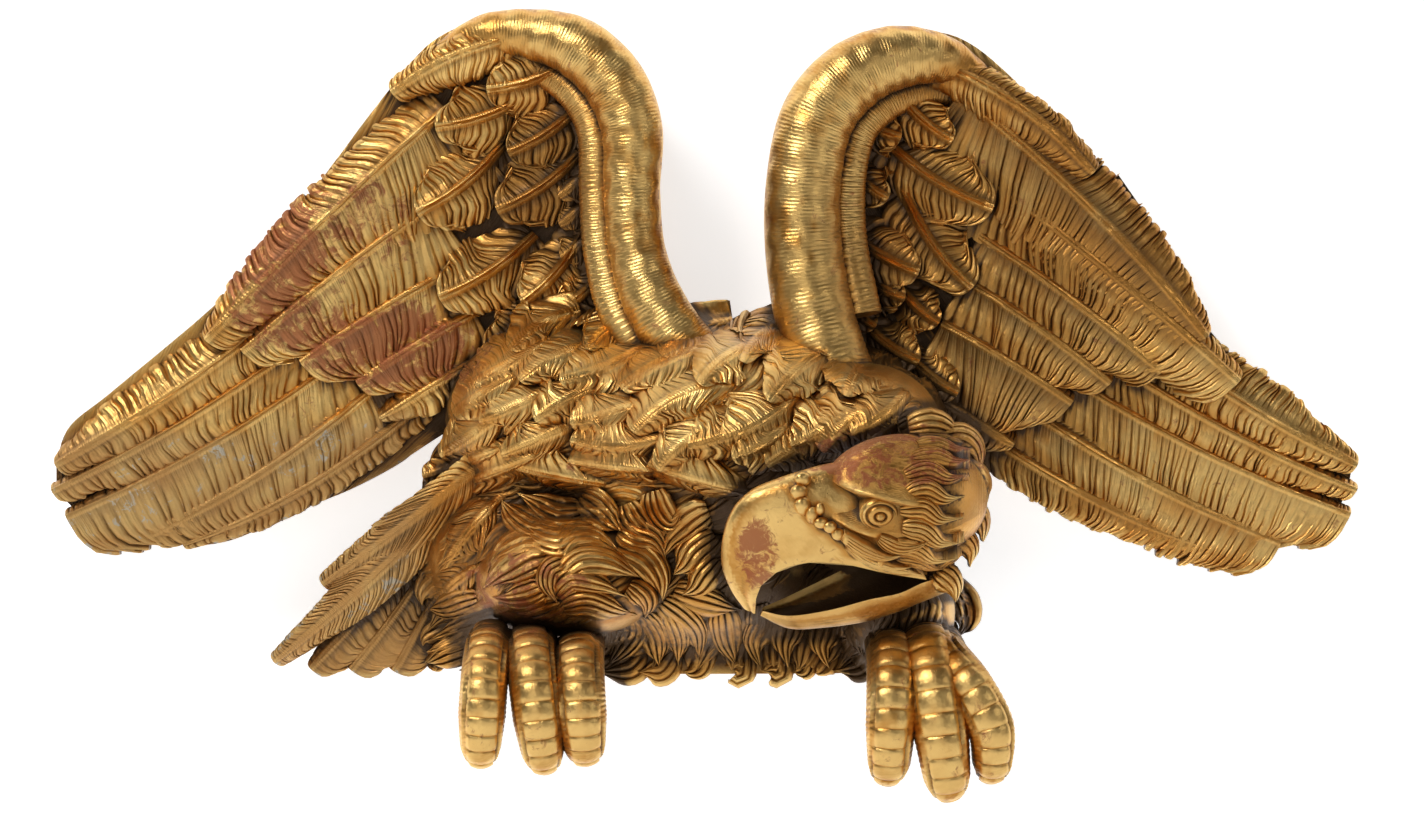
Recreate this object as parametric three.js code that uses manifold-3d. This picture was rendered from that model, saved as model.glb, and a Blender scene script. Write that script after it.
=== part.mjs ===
// A giltwood eagle, carved in the half round: it crouches with raised wings, turns its open beak
// to one side and grips the front edge of a ledge. Millimetres, +Z up. The wall is the plane
// y = 0 and the bird comes forward of it, towards -Y, with its origin on the flat back.
// A place is written [x, z, forward], where forward is the distance in front of the wall, and
// [x, z] alone is a place seen from the front.
import * as THREE from "three";
import { mergeVertices } from "three/addons/utils/BufferGeometryUtils.js";
import Module from "manifold-3d";

const wasm = await Module();
wasm.setup();

// Driving dimensions that the whole carving shares.
const ledgeLevel = -189; // underside of body and tail, where they rest on a ledge
const ledgeEdge = 190; // the ledge's front edge, forward of the wall: the toes hook over it
const wingBack = 28; // back of the wing boards, forward of the wall
const wingFloor = 60; // front of the wing boards in the middle of their hollow
const bladeThick = 16; // flight feathers, as a carved layer
const leafThick = 22; // wing coverts
const lockThick = 36; // tufts of the body
const tipRound = 0.09; // how much shorter a flight feather is at its edges, as a share

const { lerp, clamp, smoothstep } = THREE.MathUtils;
const place = (x, z, forward) => new THREE.Vector3(x, -forward, z);
const flat = (points) => new THREE.SplineCurve(points.map((p) => new THREE.Vector2(p[0], p[1])));
const along = (points) =>
  new THREE.CatmullRomCurve3(points.map((p) => place(...p)), false, "centripetal");

// A value that passes through the listed ones at even steps of t, from 0 to 1.
function through(values, t) {
  const at = clamp(t, 0, 1) * (values.length - 1);
  const i = Math.min(Math.floor(at), values.length - 2);
  return lerp(values[i], values[i + 1], at - i);
}

// A closed three.js geometry as a solid that can be joined and cut.
function solid(geometry) {
  const bare = new THREE.BufferGeometry();
  bare.setAttribute("position", geometry.getAttribute("position"));
  bare.setIndex(geometry.index);
  const merged = mergeVertices(bare, 1e-3);
  const vertProperties = merged.attributes.position.array;
  const triVerts = new Uint32Array(merged.index.array);
  const made = new wasm.Manifold(new wasm.Mesh({ numProp: 3, vertProperties, triVerts }));
  if (made.volume() > 0) return made;
  triVerts.reverse();
  return new wasm.Manifold(new wasm.Mesh({ numProp: 3, vertProperties, triVerts }));
}

// Moves every vertex of a box, sphere or cylinder to where the shape puts it.
function shaped(geometry, shape) {
  const position = geometry.getAttribute("position");
  const from = new THREE.Vector3();
  for (let i = 0; i < position.count; i++) {
    from.fromBufferAttribute(position, i);
    const to = shape(from);
    position.setXYZ(i, to.x, to.y, to.z);
  }
  return solid(geometry);
}

// A bar along a curve. half(t) gives its half sizes, first towards side and then across it.
function sweep(curve, side, half, steps, sides) {
  const hint = new THREE.Vector3(...side);
  return shaped(new THREE.CylinderGeometry(1, 1, 1, sides, steps), (v) => {
    const t = clamp(v.y + 0.5, 0, 1);
    const tangent = curve.getTangent(t);
    const out = hint.clone().addScaledVector(tangent, -hint.dot(tangent)).normalize();
    const across = new THREE.Vector3().crossVectors(tangent, out);
    const [a, b] = half(t);
    return curve.getPoint(t).addScaledVector(out, v.x * a).addScaledVector(across, v.z * b);
  });
}

function ellipsoid({ centre, radii, around = 10, rings = 6 }) {
  return shaped(new THREE.SphereGeometry(1, around, rings), (v) =>
    place(centre[0] + v.x * radii[0], centre[1] + v.y * radii[1], centre[2] + v.z * radii[2]),
  );
}

// The shaft of a feather seen from the front. bow bends it sideways, as a share of its length.
function shaft({ root, tip, bow = 0 }) {
  const from = new THREE.Vector2(...root);
  const to = new THREE.Vector2(...tip);
  const chord = to.clone().sub(from);
  const middle = from.clone().addScaledVector(chord, 0.5);
  middle.add(new THREE.Vector2(-chord.y, chord.x).multiplyScalar(bow));
  return new THREE.QuadraticBezierCurve(from, middle, to);
}

// One carved feather or tuft: a crowned blade with a raised shaft. Its height follows the ground
// under root, middle and tip. lean lifts one edge over its neighbour, blunt rounds the tip.
function feather(f) {
  const { width, ground, lift = 0, thick, cols = 4, rows = 4 } = f;
  const { blunt = 0.2, crown = 4, rib = 2, lean = 0, tipLift = 0 } = f;
  const spine = shaft(f);
  const widths = f.widths ?? [0.55, 0.95, 1, 0.6];
  const levels = [0, 0.5, 1].map((t) => {
    const at = spine.getPoint(t);
    return ground(at.x, at.y) + lift;
  });
  return shaped(new THREE.BoxGeometry(2, 1, 1, cols, rows, 1), (v) => {
    const t = v.y + 0.5;
    const s = v.x;
    const at = spine.getPoint(t * (1 - blunt * s * s));
    const ahead = spine.getTangent(t);
    const half = (width / 2) * through(widths, t);
    const x = at.x - ahead.y * s * half;
    const z = at.y + ahead.x * s * half;
    const level = through(levels, t) + lean * s;
    if (v.z < 0) return place(x, z, level - thick);
    const rise = (crown * (1 - s * s) + (s === 0 ? rib : 0)) * through([0.5, 1, 1, 0.6], t);
    return place(x, z, level + rise + tipLift * t * t);
  });
}

// A row of tufts carved side by side, from a line of roots to a line of tips. Each is crowned
// along its middle and ends in a rounded point of its own.
const tuftSteps = [
  { high: 0, reach: 0.7 },
  { high: 0.9, reach: 0.97 },
  { high: 1, reach: 1 },
];

function tuftRow({ roots, tips, count, ground, lift = 2, crown = 9, thick = lockThick }) {
  const rootLine = flat(roots);
  const tipLine = flat(tips);
  const cols = count * tuftSteps.length;
  return shaped(new THREE.BoxGeometry(1, 1, 1, cols, 2, 1), (v) => {
    const across = v.x + 0.5;
    const t = v.y + 0.5;
    const { high, reach } = tuftSteps[Math.round(across * cols) % tuftSteps.length];
    const at = rootLine.getPoint(across).lerp(tipLine.getPoint(across), t * lerp(1, reach, t));
    const level = ground(at.x, at.y) + lift;
    if (v.z < 0) return place(at.x, at.y, level - thick);
    return place(at.x, at.y, level + crown * high * through([0.3, 1, 0.8], t));
  });
}

// Flight feathers side by side, cut from one board. Each has a shaft near its upper edge, a wide
// vane below it that stands over the next feather, and a rounded tip of its own.
const vaneSteps = [
  { across: -0.2, high: 0 },
  { across: 0, high: 1 },
  { across: 0.4, high: 0.75 },
  { across: 0.76, high: 0.5 },
];

// How far a vane goes on the side where a column lies: the outer vanes of a fan have their own.
function vaneReach(across, i, final, first, last) {
  if (across < 0) return i === 0 ? first : vaneSteps[0].across;
  return i === final ? last : 0.8;
}

function fan({ shafts, first, last, ground, lift, rise, thick = bladeThick, rows = 3 }) {
  const spines = shafts.map(([root, tip, bow]) => shaft({ root, tip, bow }));
  const columns = spines.flatMap((_, i) => vaneSteps.map((step) => ({ i, ...step })));
  columns[0].across = -first;
  columns.at(-1).across = last;
  const count = columns.length - 1;
  return shaped(new THREE.BoxGeometry(1, 1, 1, count, rows, 1), (v) => {
    const { i, across, high } = columns[Math.round((v.x + 0.5) * count)];
    const t = v.y + 0.5;
    const reach = vaneReach(across, i, spines.length - 1, first, last);
    const short = t * (1 - tipRound * (across / reach) ** 2 * t * t);
    const from = clamp(across < 0 && i > 0 ? i - 1 : i, 0, spines.length - 2);
    const a = spines[from].getPoint(short);
    const b = spines[from + 1].getPoint(short);
    const share = i + across - from;
    const x = lerp(a.x, b.x, share);
    const z = lerp(a.y, b.y, share);
    const level = ground(x, z);
    if (v.z < 0) return place(x, z, level - thick);
    return place(x, z, level + lift * (t === 1 ? 0.3 : 1) + rise * high);
  });
}

// The two wings. arm is the smooth roll from the shoulder over the arch, and edge goes on from
// there to the tip. board pairs places on the leading and the trailing side of the wing's board.
// Each flight feather is [root, tip, bow], from the leading edge downwards.
const rightWing = {
  arm: [
    [104, 20, 126], [84, 80, 112], [74, 139, 104], [74, 193, 100], [85, 242, 96],
    [112, 274, 92], [147, 289, 86], [184, 287, 76], [218, 268, 66],
  ],
  armHalf: [33, 31, 30, 29, 29, 28, 25, 19, 9],
  edge: [[243, 262], [300, 190], [387, 74], [440, 22], [494, -18]],
  board: [
    [[96, -20], [150, -62]], [[68, 50], [186, -36]], [[54, 130], [216, -32]], [[54, 200], [243, -46]],
    [[72, 260], [282, -62]], [[112, 298], [318, -80]], [[162, 311], [350, -92]], [[216, 293], [384, -90]],
    [[302, 202], [415, -86]], [[392, 78], [442, -84]], [[442, 33], [466, -72]], [[494, -6], [490, -64]],
    [[504, -28], [500, -48]],
  ],
  primaries: [
    [[329, 84], [509, -25], -0.06], [[298, 66], [509, -44], -0.06], [[267, 51], [504, -64], -0.06],
    [[235, 27], [450, -87], -0.07], [[204, 6], [394, -93], -0.08],
  ],
  firstShare: 0.85, // how far the uppermost and the lowest vane reach, in feather spacings
  lastShare: 0.75,
  secondaries: [
    [[196, 262], [389, 73], 0.05], [[214, 200], [414, 38], 0.02], [[212, 152], [354, 46], 0.03],
    [[200, 118], [314, 37], 0.03], [[182, 84], [284, 22], 0.02], [[150, 42], [238, -12], 0],
  ],
  leader: { root: [174, 286], tip: [300, 197], bow: 0.13, width: 34 },
  leaves: [
    { root: [142, 262], tip: [203, 224], width: 36 }, { root: [148, 228], tip: [220, 179], width: 48 },
    { root: [160, 163], tip: [214, 113], width: 46 }, { root: [106, 154], tip: [160, 130], width: 42 },
    { root: [150, 103], tip: [192, 76], width: 34 }, { root: [122, 85], tip: [170, 47], width: 34 },
  ],
};

const leftWing = {
  arm: [
    [26, 26, 132], [-14, 58, 122], [-41, 97, 114], [-55, 139, 106], [-59, 186, 100], [-59, 232, 96],
    [-73, 269, 92], [-101, 296, 88], [-136, 307, 80], [-175, 307, 72], [-212, 290, 64],
  ],
  armHalf: [26, 25, 24, 22, 22, 24, 25, 24, 20, 16, 8],
  edge: [[-247, 259], [-330, 152], [-379, 97], [-463, 29], [-500, -12]],
  board: [
    [[10, -10], [-150, -20]], [[-6, 60], [-204, 2]], [[-32, 120], [-240, -25]], [[-40, 200], [-279, -46]],
    [[-52, 262], [-318, -62]], [[-96, 312], [-357, -80]], [[-147, 324], [-380, -88]],
    [[-207, 308], [-404, -90]], [[-250, 264], [-424, -84]], [[-333, 155], [-440, -82]],
    [[-381, 102], [-466, -74]], [[-464, 32], [-490, -66]], [[-500, 2], [-504, -54]],
    [[-510, -28], [-510, -46]],
  ],
  primaries: [
    [[-318, 104], [-513, -27], 0.05], [[-295, 86], [-516, -47], 0.06], [[-279, 62], [-504, -68], 0.07],
    [[-248, 44], [-438, -82], 0.08], [[-209, 34], [-412, -92], 0.1],
  ],
  firstShare: 0.68,
  lastShare: 0.45,
  secondaries: [
    [[-204, 250], [-392, 70], -0.02], [[-214, 176], [-364, 62], -0.02], [[-206, 122], [-318, 53], -0.02],
    [[-182, 92], [-274, 37], -0.02], [[-166, 62], [-256, 9], -0.02],
  ],
  leader: { root: [-136, 308], tip: [-244, 262], bow: -0.14, width: 32 },
  leaves: [
    { root: [-104, 284], tip: [-162, 254], width: 48 }, { root: [-160, 257], tip: [-206, 222], width: 40 },
    { root: [-110, 242], tip: [-154, 214], width: 38 }, { root: [-162, 216], tip: [-222, 166], width: 46 },
    { root: [-110, 204], tip: [-160, 166], width: 40 }, { root: [-146, 150], tip: [-206, 106], width: 44 },
    { root: [-100, 142], tip: [-150, 110], width: 38 }, { root: [-120, 94], tip: [-178, 56], width: 40 },
  ],
};

function wing(w) {
  const side = Math.sign(w.edge[0][0]);
  const rim = flat([...w.arm, ...w.edge]).getPoints(48);
  // The hollow of the wing: raised along the arm and, less, along the leading edge.
  const dish = (x, z) => {
    const here = new THREE.Vector2(x, z);
    let near = Infinity;
    let share = 0;
    rim.forEach((p, i) => {
      const gap = p.distanceTo(here);
      if (gap < near) [near, share] = [gap, i / rim.length];
    });
    const outward = smoothstep(Math.abs(x), 150, 500);
    const rise = lerp(24, 4, smoothstep(share, 0.3, 0.9)) * Math.exp(-((near / 36) ** 2));
    return lerp(wingFloor, wingFloor - 10, outward) + rise;
  };
  const half = (t) => through(w.armHalf, t);
  const arm = sweep(along(w.arm), [0, -1, 0], (t) => [half(t), half(t)], 14, 9);
  // A second, thinner roll lies inside the arch.
  const innerLine = w.arm.slice(1).map(([x, z, forward], i) => {
    const tangent = flat(w.arm).getTangent((i + 1) / (w.arm.length - 1));
    const away = w.armHalf[i + 1] + 5;
    return [x + side * tangent.y * away, z - side * tangent.x * away, forward - 4];
  });
  const inner = sweep(along(innerLine), [0, -1, 0], (t) => [12 - 4 * t, 10 - 3 * t], 11, 5);
  const leads = flat(w.board.map((pair) => pair[0]));
  const trails = flat(w.board.map((pair) => pair[1]));
  const board = shaped(new THREE.BoxGeometry(1, 1, 1, 3, w.board.length - 1, 1), (v) => {
    const t = v.y + 0.5;
    const across = v.x + 0.5;
    const at = leads.getPoint(t).lerp(trails.getPoint(t), across);
    return place(at.x, at.y, v.z < 0 ? wingBack : dish(at.x, at.y) - 8);
  });
  const common = { ground: dish, thick: leafThick };
  const covert = { ...common, cols: 2, lift: 9, crown: 9, rib: 0, bow: -0.06 * side, tipLift: 5 };
  const leader = { lift: 8, crown: 7, rib: 0, cols: 2, rows: 5, widths: [0.5, 1, 1, 0.7] };
  return [
    arm,
    inner,
    board,
    fan({ shafts: w.primaries, first: 0.7, last: w.lastShare, ground: dish, lift: 0, rise: 6 }),
    fan({ shafts: w.secondaries, first: w.firstShare, last: 0.7, ground: dish, lift: 6, rise: 7 }),
    feather({ ...common, ...leader, ...w.leader }),
    ...w.leaves.map((leaf) => feather({ ...covert, ...leaf, widths: [0.4, 0.95, 1, 0.65] })),
  ];
}

// The rounded masses of the body, seen through its tufts.
const masses = {
  back: { centre: [21, -12, 90], radii: [142, 92, 124] },
  shoulder: { centre: [-113, 8, 60], radii: [92, 77, 95] },
  breast: { centre: [-6, -99, 80], radii: [84, 69, 104] },
  thigh: { centre: [-103, -112, 140], radii: [75, 46, 72], around: 14, rings: 8 },
  hip: { centre: [-144, -99, 66], radii: [77, 69, 78] },
  neck: { centre: [118, 0, 130], radii: [62, 52, 92] },
  leg: { centre: [150, -140, 124], radii: [40, 44, 62] },
};

// The body's core: a block against the wall that stands on the ledge, bulging forward.
const coreFront = (x) => 66 + 22 * Math.max(0, 1 - ((x + 20) / 160) ** 2);
const core = shaped(new THREE.BoxGeometry(1, 1, 1, 6, 2, 1), (v) => {
  const x = lerp(-190, 140, v.x + 0.5);
  const z = lerp(ledgeLevel - 10, 40, v.y + 0.5);
  return place(x, z, v.z < 0 ? -10 : coreFront(x));
});

// How far forward the masses reach at a place seen from the front.
function bodyFront(x, z) {
  let front = coreFront(x);
  for (const { centre, radii } of Object.values(masses)) {
    const r = ((x - centre[0]) / radii[0]) ** 2 + ((z - centre[1]) / radii[1]) ** 2;
    if (r < 1) front = Math.max(front, centre[2] + radii[2] * Math.sqrt(1 - r));
  }
  return front;
}

// The same, evened out over a small circle, as the tufts bridge the hollows between masses.
function softFront(x, z) {
  const reach = 12;
  const count = 6;
  let sum = 2 * bodyFront(x, z);
  for (let i = 0; i < count; i++) {
    const angle = (i * 2 * Math.PI) / count;
    sum += bodyFront(x + reach * Math.cos(angle), z + reach * Math.sin(angle));
  }
  return sum / (count + 2);
}

// Rows of tufts over the body, the lower ones first. The long feathers lie among them.
const tuftRows = [
  {
    roots: [[30, -150], [72, -154], [128, -150]],
    tips: [[26, -196], [76, -196], [136, -194]],
    count: 3,
  },
  {
    roots: [[-84, -146], [-37, -146], [2, -144]],
    tips: [[-98, -192], [-44, -196], [-14, -194]],
    count: 3,
  },
  {
    roots: [[130, -130], [160, -134], [188, -124]],
    tips: [[128, -170], [164, -178], [206, -166]],
    count: 3,
  },
  {
    roots: [[-66, -136], [-112, -142], [-160, -130]],
    tips: [[-84, -172], [-150, -182], [-224, -162]],
    count: 3,
  },
  {
    roots: [[-60, -64], [-20, -62], [16, -60]],
    tips: [[-66, -96], [-30, -112], [10, -116]],
    count: 3,
  },
  {
    roots: [[-182, -42], [-190, -76], [-176, -112]],
    tips: [[-216, -108], [-224, -130], [-216, -156]],
    count: 3,
  },
  {
    roots: [[-150, 0], [-170, -44]],
    tips: [[-212, -10], [-228, -44]],
    count: 2,
    ground: () => 104,
  },
  {
    roots: [[-130, -80], [-126, -104], [-126, -128]],
    tips: [[-168, -90], [-182, -118], [-172, -142]],
    count: 3,
  },
  {
    roots: [[-50, -56], [-104, -54], [-160, -56]],
    tips: [[-72, -84], [-128, -84], [-190, -102]],
    count: 4,
  },
  {
    roots: [[-128, 62], [-108, 16], [-40, -8], [36, 0]],
    tips: [[-176, 44], [-152, -20], [-70, -38], [20, -34]],
    count: 6,
  },
  {
    roots: [[34, 12], [80, 20], [140, 18], [176, 14]],
    tips: [[14, -30], [64, -28], [130, -12], [190, -14]],
    count: 5,
  },
  {
    roots: [[-96, 58], [-50, 36], [20, 36], [90, 34], [156, 26]],
    tips: [[-132, 22], [-70, 0], [4, 2], [82, 2], [168, -2]],
    count: 6,
  },
  {
    roots: [[-62, 78], [-6, 74], [50, 76], [136, 60]],
    tips: [[-90, 34], [-26, 28], [40, 34], [130, 24]],
    count: 5,
  },
];
const longFeathers = [
  { root: [24, -46], tip: [-44, -24], width: 36 }, { root: [-30, -34], tip: [-104, -26], width: 42 },
  { root: [-86, -30], tip: [-158, -30], width: 40 }, { root: [-140, -14], tip: [-222, -36], width: 38 },
];

// The fanned tail: its outer feather makes a raised rim, the others lie deep inside it.
const tailGround = (x, z) => lerp(58, 44, smoothstep(-x, 200, 330));
const tailRim = feather({
  root: [-178, -32], tip: [-339, -181], width: 46, bow: 0, rows: 6, lift: 14, crown: 6, rib: 3,
  thick: 40, blunt: 0.05, widths: [0.9, 1, 0.78, 0.5], lean: 6,
  ground: (x, z) => lerp(92, 52, smoothstep(-x, 180, 330)),
});
const tailBlades = fan({
  shafts: [
    [[-214, -70], [-312, -196], 0.05], [[-206, -84], [-280, -200], 0.04],
    [[-198, -96], [-246, -202], 0.03], [[-186, -104], [-214, -202], 0],
  ],
  first: 0.5, last: 0.8, lift: 0, rise: 7, thick: 26, ground: tailGround,
});

// Feet: three toes on each side hook over the edge of the ledge. A toe is [top, bottom] seen
// from the front, and goes forward, down and back to a blunt claw. bow moves its middle aside.
const toes = [
  { top: [-166, -168], bottom: [-171, -256], half: 18 },
  { top: [-133, -168], bottom: [-122, -261], half: 19 },
  { top: [-97, -172], bottom: [-92, -254], half: 19 },
  { top: [138, -170], bottom: [135, -270], half: 19 },
  { top: [166, -166], bottom: [181, -283], half: 21 },
  { top: [180, -172], bottom: [211, -268], half: 18, bow: 14 },
];
// Along a toe: share of the way down, and how far forward.
const toeLine = [[-0.1, 140], [-0.04, 182], [0, 218], [0.22, 244], [0.55, 250], [0.85, 240], [0.96, 222]];
const toeThick = [15, 16, 17, 17, 16, 14, 8];
const toeWide = [1, 1, 1, 1, 1, 0.85, 0.5]; // share of the toe's half width

function toe({ top, bottom, half, bow = 0 }) {
  const line = along(
    toeLine.map(([down, forward]) => {
      const aside = bow * Math.sin(Math.PI * Math.max(0, down));
      return [lerp(top[0], bottom[0], down) + aside, lerp(top[1], bottom[1] + 8, down), forward];
    }),
  );
  return sweep(line, [1, 0, 0], (t) => [half * through(toeWide, t), through(toeThick, t)], 8, 7);
}

// The head has a frame of its own at the middle of the skull: a towards the beak, b towards the
// crown, and c out of the cheek that faces the viewer. It leans forward and turns to one side.
const skull = { centre: [128, -51, 265], radii: [66, 50, 46] };
const nod = THREE.MathUtils.degToRad(32);
const turn = THREE.MathUtils.degToRad(15);
function headPlace(a, b, c) {
  const [x, z, forward] = skull.centre;
  return place(
    x - a * Math.cos(turn),
    z + b * Math.cos(nod) - c * Math.sin(nod),
    forward + a * Math.sin(turn) + b * Math.sin(nod) + c * Math.cos(nod),
  );
}

// Stations of the beak, from inside the skull to its hooked tip: ridge and edge are [a, b], and
// half is half the width at the edge.
const upperBeak = [
  { ridge: [0, 36], edge: [-36, -48], half: 36 }, { ridge: [40, 29], edge: [-4, -43], half: 34 },
  { ridge: [61, 23], edge: [24, -37], half: 31 }, { ridge: [81, 16], edge: [51, -37], half: 27 },
  { ridge: [100, 7], edge: [70, -44], half: 22 }, { ridge: [114, -9], edge: [84, -55], half: 18 },
  { ridge: [121, -31], edge: [92, -67], half: 14 }, { ridge: [122, -57], edge: [95, -78], half: 11 },
  { ridge: [115, -79], edge: [96, -88], half: 7 }, { ridge: [105, -96], edge: [96, -99], half: 3 },
];
const lowerBeak = [
  { ridge: [-47, -77], edge: [-48, -50], half: 33 }, { ridge: [-18, -82], edge: [-18, -61], half: 31 },
  { ridge: [8, -88], edge: [8, -69], half: 27 }, { ridge: [38, -98], edge: [38, -81], half: 21 },
  { ridge: [68, -106], edge: [68, -92], half: 13 }, { ridge: [88, -106], edge: [88, -97], half: 5 },
];

// Half a beak, a curved shell: hollow under its ridge, with the two edges as its rim.
function beakHalf(stations, wall) {
  return shaped(new THREE.CylinderGeometry(1, 1, 1, 10, stations.length - 1), (v) => {
    const t = clamp(v.y + 0.5, 0, 1);
    const part = (pick) => through(stations.map(pick), t);
    const angle = Math.atan2(v.x, v.z);
    const round = Math.hypot(v.x, v.z);
    const c = Math.cos(angle) * round;
    const arch = Math.sin(angle) * round;
    const up = arch >= 0 ? arch ** 0.9 : -arch * (1 - wall);
    return headPlace(
      lerp(part((s) => s.edge[0]), part((s) => s.ridge[0]), up),
      lerp(part((s) => s.edge[1]), part((s) => s.ridge[1]), up),
      c * part((s) => s.half),
    );
  });
}

function head() {
  const cranium = shaped(new THREE.SphereGeometry(1, 12, 7), (v) =>
    headPlace(v.x * skull.radii[0] - 18, v.y * skull.radii[1], v.z * skull.radii[2]),
  );
  const browLine = [[58, 16, 26], [34, 26, 37], [4, 36, 40], [-30, 34, 38], [-58, 20, 30]];
  const brow = new THREE.CatmullRomCurve3(browLine.map((p) => headPlace(...p)));
  const eye = shaped(new THREE.SphereGeometry(1, 8, 5), (v) =>
    headPlace(v.x * 12, 17 + v.y * 12, 40 + v.z * 9),
  );
  const socket = shaped(new THREE.SphereGeometry(1, 8, 4), (v) =>
    headPlace(26 + v.x * 17, 18 + v.y * 8, 42 + v.z * 14),
  );
  // The gape between the jaws, a wedge that arches up in its middle.
  const mouth = shaped(new THREE.BoxGeometry(1, 1, 1, 2, 1, 1), (v) => {
    const t = v.x + 0.5;
    const arch = t === 0.5 && v.y > 0 ? 16 : 0;
    return headPlace(lerp(-34, 110, t), lerp(-52, v.y < 0 ? -100 : -66, t) + arch, v.z * 120);
  });
  const parts = [
    sweep(brow, [0, -1, 0], (t) => [through([4, 8, 9, 8, 3], t), through([4, 8, 9, 8, 3], t)], 6, 6),
    eye,
    beakHalf(upperBeak, 0.6),
    beakHalf(lowerBeak, 0.25),
  ];
  return parts.reduce((all, next) => all.add(next), cranium.subtract(mouth).subtract(socket));
}

// Locks that stand off the nape and the crown.
function napeGround(x, z) {
  const round = 1 - ((x - 146) / 72) ** 2 - ((z + 52) / 76) ** 2;
  return 216 + 56 * Math.max(0, round);
}
const napeLocks = tuftRow({
  roots: [[150, 14], [172, -20], [174, -68], [150, -100]],
  tips: [[196, 10], [213, -28], [211, -80], [190, -122]],
  count: 5, crown: 7, thick: 46, ground: napeGround,
});
const nape = ellipsoid({ centre: [146, -52, 190], radii: [50, 62, 84] });

const locks = { ground: softFront, thick: lockThick };
const tufts = [
  ...tuftRows.map((tuft) => tuftRow({ ...locks, ...tuft })),
  ...longFeathers.map((long) =>
    feather({ ...long, ...locks, lift: 6, crown: 9, rib: 0, cols: 2, bow: 0.08 }),
  ),
];

const standing = [
  core,
  ...Object.values(masses).map((mass) => ellipsoid(mass)),
  ...tufts,
  tailRim,
  tailBlades,
  ...wing(rightWing),
  ...wing(leftWing),
].reduce((all, next) => all.add(next));

// What the ledge and the wall cut away: all below the underside, and all behind the wall.
// A small bay under the middle parts the tufts, and the toes stay clear of the ledge's edge.
const block = (width, depth, height, x, y, z) =>
  solid(new THREE.BoxGeometry(width, depth, height).translate(x, y, z));
const gripDepth = ledgeEdge + 10;
const below = block(1100, 600, 400, 0, 0, ledgeLevel - 200);
const behind = block(1100, 400, 900, 0, 200, 0);
const grip = block(600, gripDepth, 200, 0, -gripDepth / 2, ledgeLevel - 100);
const bay = solid(new THREE.CylinderGeometry(9, 13, 200, 8).translate(4, -60, ledgeLevel));

const feet = toes.map(toe).reduce((all, next) => all.add(next)).subtract(grip);
const trimmed = standing.subtract(below).subtract(bay);
const carved = [feet, nape, head(), napeLocks]
  .reduce((all, next) => all.add(next), trimmed)
  .subtract(behind);

// A solid's outer skin as a geometry: what is closed off between the locks is wood too. Edges
// finer than the evenness, which the many joins leave behind, go as well.
const evenness = 0.05;
function outerSkin(body) {
  const parts = body.simplify(evenness).decompose();
  const [skin] = parts.sort((a, b) => b.volume() - a.volume());
  const { vertProperties, triVerts } = skin.getMesh();
  const geometry = new THREE.BufferGeometry();
  geometry.setAttribute("position", new THREE.BufferAttribute(new Float32Array(vertProperties), 3));
  geometry.setIndex(new THREE.BufferAttribute(triVerts, 1));
  return geometry;
}

// Corners that meet within a thousandth are merged, which can close off a last small hollow.
const geometry = outerSkin(solid(outerSkin(carved)));
geometry.computeVertexNormals();

const gilding = new THREE.MeshStandardMaterial({ color: 0xb07a2c, roughness: 0.38, metalness: 0.85 });
const eagle = new THREE.Mesh(geometry, gilding);
eagle.name = "eagle";

const group = new THREE.Group();
group.add(eagle);
export default group;
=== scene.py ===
import math

import bmesh
import bpy
import numpy as np
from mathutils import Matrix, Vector


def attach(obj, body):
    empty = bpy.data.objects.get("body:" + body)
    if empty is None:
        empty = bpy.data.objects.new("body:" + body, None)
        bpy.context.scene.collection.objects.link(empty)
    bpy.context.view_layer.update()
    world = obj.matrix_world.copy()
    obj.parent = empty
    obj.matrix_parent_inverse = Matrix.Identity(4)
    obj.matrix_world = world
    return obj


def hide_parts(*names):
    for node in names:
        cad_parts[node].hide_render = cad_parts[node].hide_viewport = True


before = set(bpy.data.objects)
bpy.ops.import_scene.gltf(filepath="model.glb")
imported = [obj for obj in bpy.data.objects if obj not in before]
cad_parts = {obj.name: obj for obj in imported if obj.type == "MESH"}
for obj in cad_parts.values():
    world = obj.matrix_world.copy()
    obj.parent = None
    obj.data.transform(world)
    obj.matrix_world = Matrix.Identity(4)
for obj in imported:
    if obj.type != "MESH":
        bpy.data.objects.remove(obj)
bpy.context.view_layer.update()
chance = np.random.default_rng(11)

# curves and small helpers


def smooth(value, low, high):
    share = np.clip((value - low) / (high - low), 0, 1)
    return share * share * (3 - 2 * share)


def steps(values, t):  # passes through the listed values at even steps of t
    return np.interp(t, np.linspace(0, 1, len(values)), values)


def bend(points, t):  # a smooth curve through points, at each t from 0 to 1
    points = np.asarray(points, float)
    at = np.clip(np.asarray(t, float), 0, 1) * (len(points) - 1)
    first = np.minimum(at.astype(int), len(points) - 2)
    w = (at - first)[..., None]
    p0, p1 = points[np.maximum(first - 1, 0)], points[first]
    p2, p3 = points[first + 1], points[np.minimum(first + 2, len(points) - 1)]
    return 0.5 * (2 * p1 + (p2 - p0) * w + (2 * p0 - 5 * p1 + 4 * p2 - p3) * w**2 + (3 * p1 - p0 - 3 * p2 + p3) * w**3)


def shaft(root, tip, bow=0.0):  # five points of a gently bowed line
    root, tip = np.array(root, float), np.array(tip, float)
    chord = tip - root
    aside = np.array([-chord[1], chord[0]]) * bow / 2
    return [root + chord * t + aside * 4 * t * (1 - t) for t in np.linspace(0, 1, 5)]


def heading(points, t, step=0.01):  # unit direction of a curve in the plane
    ahead = bend(points, np.clip(t + step, 0, 1)) - bend(points, np.clip(t - step, 0, 1))
    return ahead / np.maximum(np.linalg.norm(ahead, axis=-1, keepdims=True), 1e-9)


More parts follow.
